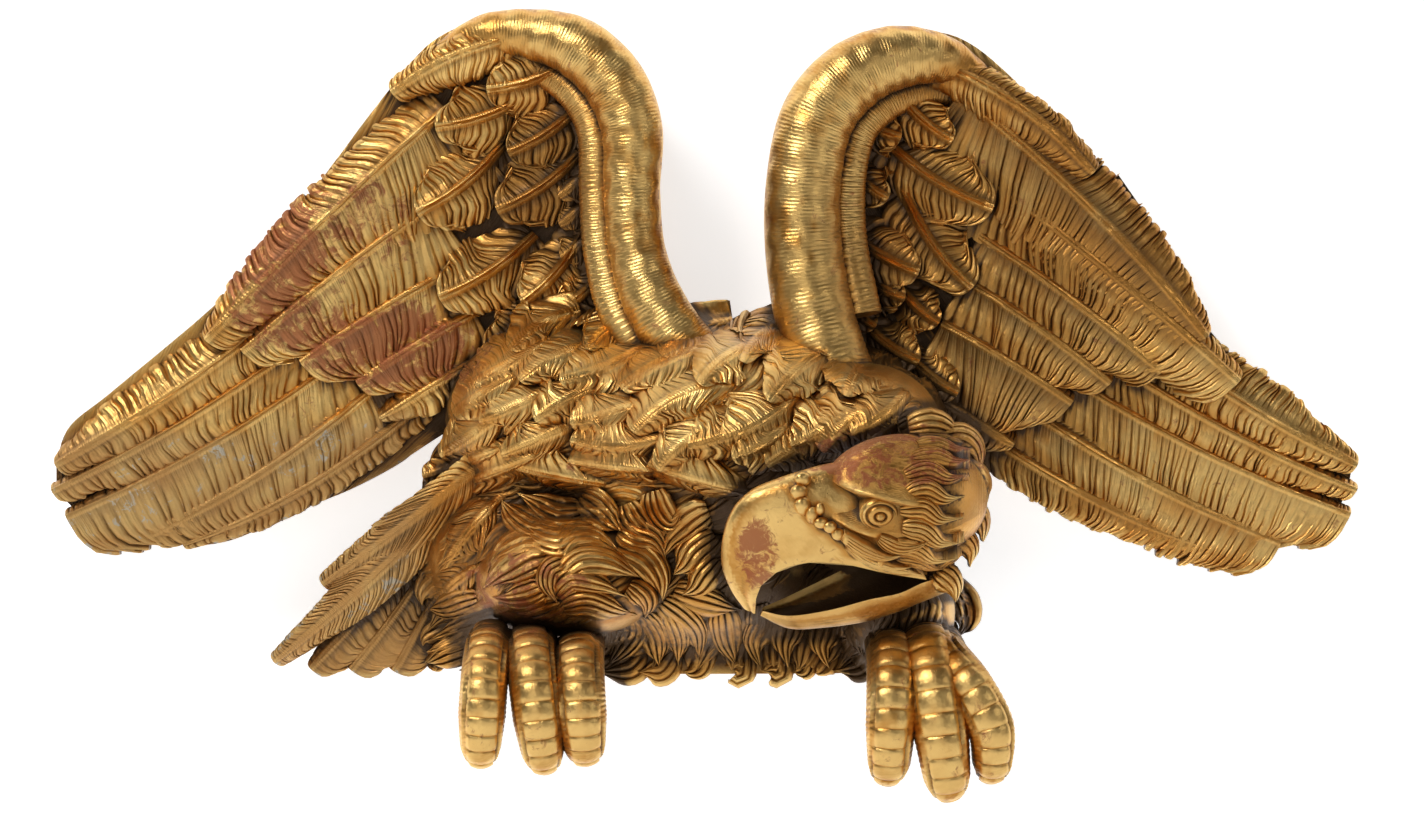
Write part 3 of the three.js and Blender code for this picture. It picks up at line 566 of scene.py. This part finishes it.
feet = {
    "toes": [((-166, -168), (-171, -256), 18, 0), ((-133, -168), (-122, -261), 19, 0), ((-97, -172), (-92, -254), 19, 0),
             ((138, -170), (135, -270), 19, 0), ((166, -166), (181, -283), 21, 0), ((180, -172), (211, -268), 18, 14)],
    "line": [(-0.1, 140), (-0.04, 182), (0, 218), (0.22, 244), (0.55, 250), (0.85, 240), (0.96, 222)],
    "thick": (15, 16, 17, 17, 16, 14, 8), "wide": (1, 1, 1, 1, 1, 0.85, 0.5),
}


def toes():
    bm = bmesh.new()
    for top, bottom, half, bow in feet["toes"]:
        line = []
        for down, forward in feet["line"]:
            aside = bow * math.sin(math.pi * max(0, down))
            line.append((top[0] + (bottom[0] - top[0]) * down + aside, top[1] + (bottom[1] + 8 - top[1]) * down, forward))
        depth = chance.uniform(0.7, 1.0, 41)

        def scutes(angle, t):
            ahead = np.cos(angle + 0.12 * np.sin(t * 5 + top[0]))
            band = smooth(ahead, 0.66, 0.76)
            scale = rolls(t * 15, depth) * 2.3
            fine = rolls(t * 45 + 0.3 * np.sin(angle * 3), depth) * 1.0
            edge = -1.5 * np.exp(-(((ahead - 0.68) / 0.06) ** 2)) + 0.9 * np.exp(-(((ahead - 0.56) / 0.07) ** 2))
            return band * (1.5 + scale) + (1 - band) * fine * smooth(ahead, -0.4, 0.1) + edge

        sweep(bm, line, lambda t: (half * steps(feet["wide"], t), steps(feet["thick"], t)), 40, 180, scutes)
    return piece("feet", bm)


toes()
print("feet done")

# the head

skull = {"centre": (128, -51, 265), "radii": (66, 50, 46), "nod": math.radians(32), "turn": math.radians(15),
         "eye": (1, 14, 37)}


def cheek(a, b, c):  # the head's own frame: a towards the beak, b to the crown, c out of the near cheek
    x, z, depth = skull["centre"]
    nod, turn = skull["nod"], skull["turn"]
    return front(x - a * math.cos(turn), z + b * math.cos(nod) - c * math.sin(nod),
                 depth + a * math.sin(turn) + b * math.sin(nod) + c * math.cos(nod))


upperBeak = [((0, 36), (-36, -48), 36), ((40, 29), (-4, -43), 34), ((61, 23), (24, -37), 31), ((81, 16), (51, -37), 27),
             ((100, 7), (70, -44), 22), ((114, -9), (84, -55), 18), ((121, -31), (92, -67), 14), ((122, -57), (95, -78), 11),
             ((115, -79), (96, -88), 7), ((105, -96), (96, -99), 3)]


def skin(p, q, h):  # over the skull: p towards the beak, q millimetres up from the middle of the cheek, h above it
    ra, rb, rc = skull["radii"]
    k = np.sqrt(np.clip(1 - ((p + 18) / (ra + 12)) ** 2, 0.03, 1))
    angle = q / 48
    back = np.clip(-52 - p, 0, 60)
    return cheek(p, (rb * k + h) * np.sin(angle) - back * 0.1, (rc * k + h) * np.cos(angle))


def cranium(bm):
    ra, rb, rc = skull["radii"]
    depth = chance.uniform(0.3, 1.0, 53)

    def shape(x, y, z):
        a, b, c = x * ra - 18, z * rb, -y * rc
        b = np.maximum(b, -12 - 45 * smooth(-a, -8, 36))
        angle = np.arctan2(z, -y)
        wave = 0.9 * np.sin(a * 0.09) + 0.5 * np.sin(a * 0.21 + angle * 5) + 0.25 * np.sin(a * 0.4 + angle * 11)
        streak = rolls(angle * 24 + wave, depth) * smooth(z, 0.3, 0.55)
        brow = 11 * np.exp(-(((b - 32 + 0.0035 * (a - 12) ** 2) / 6) ** 2)) * smooth(a, -50, -20) * smooth(-a, -66, -40)
        hollow = np.exp(-(((a - 31 - 0.3 * (b - 14)) / 19) ** 2) - (((b - 14) / 8) ** 2))
        lid = 4 * np.exp(-(((b - 0 - 0.15 * (a - 20)) / 4) ** 2)) * smooth(a, -2, 12) * smooth(-a, -60, -45)
        puff = 5 * np.exp(-(((a + 25) / 26) ** 2) - (((b + 18) / 16) ** 2))
        near = smooth(c, 2, 16)
        c = c + near * (brow + lid + puff - 24 * hollow)
        # the hollow before the eye gets a high groove value, which the gilding paints near-black as painted shade
        return cheek(a, b + 1.5 * streak * z, c + 1.5 * streak * np.abs(y)), angle * 60 + wave, near * hollow * 1.6 - streak * 0.6

    ball(bm, 240, 120, shape)


def eye(bm):
    (ea, eb, ec), size = skull["eye"], 16

    def shape(x, y, z):
        r = np.hypot(x, y)
        cuts = np.exp(-(((r - 0.66) / 0.07) ** 2)) + np.exp(-(((r - 0.27) / 0.06) ** 2)) + 0.5 * np.exp(-(((r - 0.93) / 0.05) ** 2))
        high = np.where(z > 0, 10 * np.sqrt(np.clip(1 - 0.8 * r * r, 0, 1)) - 2.6 * cuts + 1.5 * np.exp(-((r / 0.14) ** 2)), -10)
        return cheek(ea + x * size, eb + y * size * 0.88, ec + high), 0, cuts

    ball(bm, 56, 80, shape)


def upperJaw(bm):
    ridges, edges = [s[0] for s in upperBeak], [s[1] for s in upperBeak]
    halves = [(s[2], 0) for s in upperBeak]

    def shape(angle, t):
        ridge, edge, half = bend(ridges, t), bend(edges, t), bend(halves, t)[:, 0]
        arch = np.sin(angle)
        outer = arch >= 0
        up = np.where(outer, np.clip(arch, 0, 1) ** 0.92, -arch * 0.36)
        rim = np.minimum(angle, 2 * math.pi - angle)
        lip = np.exp(-(((rim - 0.1) / 0.13) ** 2)) * smooth(t, 0.05, 0.25) * (1 - 0.6 * t)
        wide = half + np.where(outer, 1, 0.2) * 2.6 * lip - 1.2 * np.exp(-(((rim - 0.36) / 0.08) ** 2)) * outer
        wide = np.where(outer, wide, half - 3.0 * np.minimum(1, -arch * 6) * (1 - 0.7 * t))
        spotA = edge[:, 0] + (ridge[:, 0] - edge[:, 0]) * up
        spotB = edge[:, 1] + (ridge[:, 1] - edge[:, 1]) * up
        # the underside of the upper beak gets a high groove value, which the gilding paints dark as painted shade
        return cheek(spotA, spotB, np.cos(angle) * wide), 0, np.where(outer, 0.25 * np.exp(-(((rim - 0.36) / 0.08) ** 2)), -arch * 1.6)

    tube(bm, 96, 110, shape)


lowerBeak = {
    "rims": [(-52, -46), (-34, -51), (-15, -62), (8, -70), (38, -83), (69, -94), (90, -97)],
    "keels": [(-50, -76), (-32, -85), (-14, -94), (10, -104), (40, -110), (69, -113), (92, -103)],
    "halves": [(34, 0), (34, 0), (32, 0), (28, 0), (22, 0), (13, 0), (2, 0)],
}


def lowerJaw(bm):
    depth = chance.uniform(0.4, 1.0, 31)

    def shape(angle, t):
        rim, keel, half = (bend(lowerBeak[name], t) for name in ("rims", "keels", "halves"))
        half = half[:, 0]
        drop = np.sin(angle)  # above 0 is the inside
        inside = drop >= 0
        down = np.where(inside, 0.7 * np.clip(drop, 0, 1) ** 0.8, np.clip(-drop, 0, 1) ** 0.85)
        streak = np.where(inside, 0.3, 1) * rolls(angle * 8 + 0.5 * np.sin(t * 8), depth) * smooth(np.abs(drop), 0.1, 0.4)
        lip = np.exp(-((np.minimum(angle, 2 * math.pi - angle) / 0.12) ** 2))
        wide = np.where(inside, half - 2.6 * np.minimum(1, drop * 5), half) + 1.2 * lip + 1.3 * streak * smooth(1 - t, 0, 0.2)
        spotA = rim[:, 0] + (keel[:, 0] - rim[:, 0]) * down
        spotB = rim[:, 1] + (keel[:, 1] - rim[:, 1]) * down
        # the inside of the lower jaw gets a high groove value, which the gilding paints dark as patina and as painted
        # shade under the upper beak
        return cheek(spotA, spotB, np.cos(angle) * wide), 0, np.where(inside, 0.9 * np.clip(drop * 2, 0, 1), -0.8 * streak)

    tube(bm, 104, 90, shape)


headLocks = {
    # places along each lock over the skull, and its width: behind the brow, on the cheek, under the eye, at the jaw
    "cheek": [([(-18, 30), (-34, 32), (-50, 26), (-66, 30)], 17), ([(-14, 20), (-32, 20), (-46, 12), (-64, 14)], 17),
              ([(-60, -30), (-50, -40), (-42, -52), (-30, -60)], 16), ([(-44, -34), (-50, -46), (-46, -58), (-36, -68)], 16),
              ([(-16, 6), (-32, 4), (-46, -6), (-66, -6)], 18), ([(30, -8), (14, -16), (-2, -18), (-18, -12)], 15),
              ([(26, -18), (8, -26), (-8, -28), (-24, -24)], 15), ([(14, -30), (-4, -36), (-20, -36), (-38, -44)], 16),
              ([(2, -40), (-16, -44), (-30, -50), (-46, -56)], 15), ([(-8, -10), (-26, -12), (-40, -22), (-60, -24)], 18),
              ([(-12, -24), (-28, -26), (-40, -36), (-58, -42)], 17), ([(2, -4), (-12, -10), (-26, -8), (-40, 0)], 14)],
    "crown": [([(-18, 44), (-36, 48), (-52, 42), (-68, 48)], 18), ([(-24, 60), (-42, 62), (-56, 58), (-70, 64)], 18),
              ([(-28, 76), (-44, 80), (-58, 74), (-70, 80)], 18), ([(-30, 94), (-46, 96), (-58, 92), (-70, 98)], 18)],
    # standing tufts down the back of the head: four places seen from the front, and the width
    "nape": [([(170, -104), (178, -110), (184, -118), (185, -128)], 22), ([(172, -78), (186, -82), (196, -90), (196, -102)], 26),
             ([(176, -54), (192, -60), (204, -70), (206, -86)], 28), ([(178, -30), (194, -34), (206, -44), (208, -58)], 28),
             ([(172, -8), (188, -8), (200, -16), (205, -30)], 27), ([(150, 2), (166, 4), (180, 0), (190, -10)], 25)],
    # small scales between the beak and the eye: place in the head's own frame, and the radius
    "scales": [(60, 26, 12, 6), (63, 18, 17, 6.5), (60, 9, 22, 7), (53, 4, 27, 6), (47, 9, 27, 4.5), (46, 0, 31, 5), (39, -2, 34, 5),
               (33, -7, 36, 5), (26, -9, 39, 4.5), (19, -12, 41, 4.5), (12, -17, 43, 4.5), (5, -20, 44, 4), (0, -26, 44, 4)],
}


def napeFront(x, z):
    return 224 + 42 * np.sqrt(np.clip(1 - ((x - 148) / 64) ** 2, 0, 1)) - 0.12 * np.abs(z + 50)


def head():
    bm = bmesh.new()
    cranium(bm)
    eye(bm)
    upperJaw(bm)
    lowerJaw(bm)
    flat = lambda p, q: np.zeros_like(p)
    for points, width in headLocks["nape"]:
        lock(bm, points, width, napeFront, strands=5, crown=9, groove=3, lift=0, tipLift=-4, thick=34, rows=24,
             profile=(0.7, 1, 1.1, 1, 0.8, 0.5, 0.1))
    for points, width in headLocks["crown"]:
        lock(bm, points, width, flat, skin, strands=5, crown=4, groove=1.8, lift=0, tipLift=5, thick=12, rows=20)
    for points, width in headLocks["cheek"]:
        lock(bm, points, width, flat, skin, strands=5, crown=5, groove=2.2, lift=2 + chance.uniform(0, 1.5), tipLift=4, thick=12,
             rows=22)
    for a, b, c, size in headLocks["scales"]:
        tilt = chance.uniform(0.8, 1.2)
        ball(bm, 16, 10, lambda x, y, z: [cheek(a + x * size * tilt, b + z * size / tilt, c - y * size * 0.8)])
    return piece("head", bm)


head()
print("head done")

# finish: gold over gesso, with painted shade in the hollows and painted highlight on the high points


def spread(field, radius):  # evens a field out over a square of cells
    for axis in (0, 1):
        padded = np.pad(field, [(radius + 1, radius) if i == axis else (0, 0) for i in (0, 1)], mode="edge")
        total = np.cumsum(padded, axis=axis)
        ahead = np.take(total, range(2 * radius + 1, total.shape[axis]), axis=axis)
        behind = np.take(total, range(0, total.shape[axis] - 2 * radius - 1), axis=axis)
        field = (ahead - behind) / (2 * radius + 1)
    return field


def band(x, z, cx, cz, rx, rz):  # 1 in the middle of a round patch and 0 outside it
    return smooth(1.25 - np.hypot((x - cx) / rx, (z - cz) / rz), 0, 0.6)


def surfaceMarks():
    # How sheltered and how exposed each point of the carving is, from its height over its surroundings, the places
    # where the finish is worn or red, and patches of painted shade.
    # The material reads them as attributes; it paints the sheltered points dark as patina and painted shade, and the
    # exposed ones paler as painted highlight.
    places = []
    for made in pieceList:
        flat = np.empty(len(made.data.vertices) * 3, np.float32)
        made.data.vertices.foreach_get("co", flat)
        places.append(flat.reshape(-1, 3) * 1000)
    cell = 2.0
    every = np.concatenate(places)
    low = every.min(axis=0) - 20
    shape = (np.ceil((every.max(axis=0) + 20 - low) / cell)).astype(int)[[0, 2]]
    heights = np.zeros(shape)
    spot = ((every[:, [0, 2]] - low[[0, 2]]) / cell).astype(int)
    np.maximum.at(heights, (spot[:, 0], spot[:, 1]), -every[:, 1])
    for _ in range(2):  # fills the cells that hold no vertex
        filled = np.maximum.reduce([np.roll(heights, d, axis) for d in (-1, 1) for axis in (0, 1)])
        heights = np.where(heights < 1, filled, heights)
    near, wide = spread(heights, 3), spread(heights, 9)
    for made, co in zip(pieceList, places):
        x, z, depth = co[:, 0], co[:, 2], -co[:, 1]
        ix, iz = ((co[:, [0, 2]] - low[[0, 2]]) / cell).astype(int).T
        over = heights[ix, iz] - depth
        # how sheltered a point is, and how much stands over it: painted dark in the gilding as patina and painted shade
        hollow = np.clip((near[ix, iz] - depth) / 7, 0, 1) * 0.55 + np.clip((wide[ix, iz] - depth) / 22, 0, 1) * 0.45
        hollow = np.clip(hollow + np.clip((over - 3) / 10, 0, 1) * 0.6, 0, 1)
        # how far a point stands above its surroundings: painted paler as painted highlight, and rubbed to red or
        # chipped as wear
        high = np.clip((depth - near[ix, iz]) / 4.5, 0, 1)
        tipWorn = smooth(-(z - steps([2, -2, 20], np.clip((x + 513) / 305, 0, 1))), -6, 8) * smooth(-x, 200, 240)
        red = band(x, z, -245, 65, 75, 36) + 0.8 * band(x, z, -340, 120, 40, 60) + 0.9 * band(x, z, 140, -20, 70, 26)
        red = red + 0.7 * band(x, z, -140, -120, 60, 34) + 0.8 * band(x, z, 34, -90, 18, 26) + 0.5 * band(x, z, -290, 165, 70, 50)
        # painted shade: darker patches over the wings' inner fields under the arm rolls, the skirt under the body and
        # the hollow by the tail
        shade_patch = 0.75 * band(x, z, 240, 110, 150, 150) + 1.0 * band(x, z, -130, 190, 46, 60) + 0.6 * band(x, z, -60, -160, 200, 34)
        shade_patch = shade_patch + 0.5 * band(x, z, 100, -165, 120, 26) + 0.6 * band(x, z, -215, -110, 40, 70)
        back = smooth(30.5 - depth, 0, 1)
        for name, value in (("hollow", hollow), ("high", high), ("worn", tipWorn), ("red", red), ("shade_patch", shade_patch), ("back", back)):
            layer = made.data.attributes.new(name, "FLOAT", "POINT")
            layer.data.foreach_set("value", np.clip(value, 0, 1).astype(np.float32))


surfaceMarks()
print("marks done")


class Socket:  # a shader value that adds its own Math nodes
    def __init__(self, graph, output):
        self.graph, self.output = graph, output

    def join(self, operation, other, swapped=False):
        pair = [self, other][::-1] if swapped else [self, other]
        return self.graph.node("ShaderNodeMath", {"operation": operation}, {0: pair[0], 1: pair[1]})

    def __add__(self, other):
        return self.join("ADD", other)

    def __sub__(self, other):
        return self.join("SUBTRACT", other)

    def __mul__(self, other):
        return self.join("MULTIPLY", other)

    def __rsub__(self, other):
        return self.join("SUBTRACT", other, True)

    __radd__, __rmul__ = __add__, __mul__

    def held(self):  # between 0 and 1
        return self.graph.node("ShaderNodeClamp", {}, {"Value": self})

    def between(self, low, high):  # 0 below low, 1 above high
        return self.graph.node("ShaderNodeMapRange", {"interpolation_type": "SMOOTHSTEP"},
                               {"Value": self, "From Min": low, "From Max": high})


class Graph:
    def __init__(self, name):
        self.material = bpy.data.materials.new(name)
        self.material.use_nodes = True
        self.tree = self.material.node_tree
        self.shader = self.tree.nodes["Principled BSDF"]

    def put(self, socket, value):
        if isinstance(value, Socket):
            self.tree.links.new(value.output, socket)
        else:
            socket.default_value = value

    def node(self, kind, settings, values, output=0):
        made = self.tree.nodes.new(kind)
        for name, value in settings.items():
            setattr(made, name, value)
        for name, value in values.items():
            self.put(made.inputs[name], value)
        return Socket(self, made.outputs[output])

    def mix(self, share, first, second):  # between two colours
        return self.node("ShaderNodeMix", {"data_type": "RGBA"}, {0: share, 6: first, 7: second}, 2)

    def mark(self, name):
        return self.node("ShaderNodeAttribute", {"attribute_name": name}, {}, 2)

    def noise(self, scale, detail=3.0, rough=0.55, warp=0.0):
        at = self.node("ShaderNodeTexCoord", {}, {}, 3)
        return self.node("ShaderNodeTexNoise", {}, {"Vector": at, "Scale": scale, "Detail": detail, "Roughness": rough,
                                                    "Distortion": warp})


# tone is the near-black of the patina and painted shade in the hollows; paleGold also serves as the painted highlight
# on high points
gildingLook = {
    "gold": (0.72, 0.385, 0.095, 1), "paleGold": (0.90, 0.60, 0.21, 1), "deepGold": (0.46, 0.185, 0.035, 1),
    "bole": (0.31, 0.055, 0.018, 1), "tone": (0.035, 0.017, 0.006, 1), "gesso": (0.50, 0.43, 0.32, 1),
    "tan": (0.42, 0.24, 0.09, 1), "wood": (0.30, 0.19, 0.09, 1),
}


def gilding():
    g = Graph("gilding")
    look = gildingLook
    hollow, high, worn = g.mark("hollow"), g.mark("high"), g.mark("worn")
    red, shade_patch, back, grain, groove = [g.mark(name) for name in ("red", "shade_patch", "back", "grain", "groove")]
    broad, mid, fine = g.noise(9), g.noise(38, 4, 0.6, 0.6), g.noise(210, 5, 0.7)
    speckle = g.noise(95, 5, 0.7, 1.0)
    colour = g.mix((broad * 1.6 + mid * 0.6 - 0.6).held(), look["deepGold"], look["gold"])
    # paler gold on high points, kept off the patches of painted shade: painted highlight, mixed with random tone from
    # the noise
    colour = g.mix((high * 0.8 + mid * 0.7 - 0.35 - shade_patch * 0.7).held(), colour, look["paleGold"])
    rubbed = (speckle * 1.1 + mid * 0.45 + red * 0.34 + high * 0.14).between(1.0, 1.2)
    # towards near-black in hollows, under overhangs, in grooves and cuts, inside the mouth and in the patches of
    # painted shade: patina and painted shade
    patina_and_shade = (hollow * 1.5 + shade_patch * 0.4 + fine * 0.5 + mid * 0.45 + groove * 0.75 - 0.66).held()
    tired = (worn * 0.8 + speckle * 0.5 - 0.35).held()
    chips = (worn * 0.3 + speckle * 1.0 + high * 0.2).between(1.03, 1.1) * worn
    colour = g.mix(rubbed * 0.8, colour, look["bole"])
    colour = g.mix(tired * 0.7, colour, look["tan"])
    colour = g.mix(patina_and_shade * 0.92, colour, look["tone"])
    colour = g.mix(chips, colour, look["gesso"])
    colour = g.mix(back, colour, look["wood"])
    g.put(g.shader.inputs["Base Color"], colour)
    dull = (rubbed * 0.45 + patina_and_shade * 0.55 + tired * 0.5 + chips + back).held()
    g.put(g.shader.inputs["Metallic"], 1 - dull)
    g.put(g.shader.inputs["Roughness"], (0.17 + speckle * 0.16 + fine * 0.14 + dull * 0.25).held())
    stroke = g.node("ShaderNodeMath", {"operation": "SINE"}, {0: (grain + mid * 0.8 + speckle * 0.5) * 6.283})
    strokes = stroke * (grain * 4).held() * (mid * 1.6 - 0.3).held()
    pits = g.node("ShaderNodeBump", {}, {"Strength": 0.5, "Distance": 0.0007, "Height": fine * 1.2 + speckle * 1.2 + strokes * 0.42})
    g.put(g.shader.inputs["Normal"], pits)
    return g.material


gold = gilding()
for made in pieceList:
    made.data.materials.append(gold)
print("gilding done")

# stage, light and camera


def flatPlane(name, corners):
    bm = bmesh.new()
    bmesh.ops.create_grid(bm, x_segments=1, y_segments=1, size=0.5)
    for v in bm.verts:
        low, along, up = corners
        v.co = Vector(low) + Vector(along) * (v.co.x + 0.5) + Vector(up) * (v.co.y + 0.5)
    mesh = bpy.data.meshes.new(name)
    bm.to_mesh(mesh)
    bm.free()
    made = bpy.data.objects.new(name, mesh)
    bpy.context.scene.collection.objects.link(made)
    return made


def paper(glow):
    made = bpy.data.materials.new("paper")
    made.use_nodes = True
    nodes, links = made.node_tree.nodes, made.node_tree.links
    shader = nodes["Principled BSDF"]
    shader.inputs["Base Color"].default_value = (0.93, 0.93, 0.93, 1)
    shader.inputs["Roughness"].default_value = 0.9
    shader.inputs["Emission Color"].default_value = (1, 1, 1, 1)
    shader.inputs["Emission Strength"].default_value = glow
    clear = nodes.new("ShaderNodeBsdfTransparent")
    mix = nodes.new("ShaderNodeMixShader")
    geometry = nodes.new("ShaderNodeNewGeometry")
    links.new(geometry.outputs["Backfacing"], mix.inputs[0])
    links.new(shader.outputs[0], mix.inputs[1])
    links.new(clear.outputs[0], mix.inputs[2])
    links.new(mix.outputs[0], nodes["Material Output"].inputs["Surface"])
    return made


wall = flatPlane("wall", ((-5, 0.012, -0.62), (10, 0, 0), (0, 0, 6)))
floor = flatPlane("floor", ((-5, -8, -0.62), (10, 0, 0), (0, 8.02, 0)))
wall.data.materials.append(paper(0.66))
floor.data.materials.append(paper(0.1))

world = bpy.data.worlds.new("studio")
bpy.context.scene.world = world
world.use_nodes = True
world.node_tree.nodes["Background"].inputs["Color"].default_value = (1, 1, 1, 1)
world.node_tree.nodes["Background"].inputs["Strength"].default_value = 0.07


def softbox(name, at, to, size, power, tone=(1, 1, 1)):
    light = bpy.data.lights.new(name, "AREA")
    light.shape = "RECTANGLE"
    light.size, light.size_y = size
    light.energy = power
    light.color = tone
    made = bpy.data.objects.new(name, light)
    made.location = at
    made.rotation_euler = (Vector(to) - Vector(at)).to_track_quat("-Z", "Y").to_euler()
    bpy.context.scene.collection.objects.link(made)


softbox("key", (-1.5, -2.0, 2.2), (0, 0, 0), (1.0, 1.0), 46)
softbox("fill", (2.4, -2.4, 1.2), (0, 0, 0), (1.0, 1.4), 9)
softbox("front", (-0.6, -3.8, 0.5), (0, 0, 0), (1.3, 1.0), 9)
bpy.context.scene.view_settings.view_transform = "Standard"

lens = bpy.data.cameras.new("camera")
lens.sensor_width = 36
lens.lens = 143.9
camera = bpy.data.objects.new("camera", lens)
camera.location = (0.003, -4.5, 0.016)
camera.rotation_euler = (math.radians(90), 0, 0)
bpy.context.scene.collection.objects.link(camera)
bpy.context.scene.camera = camera
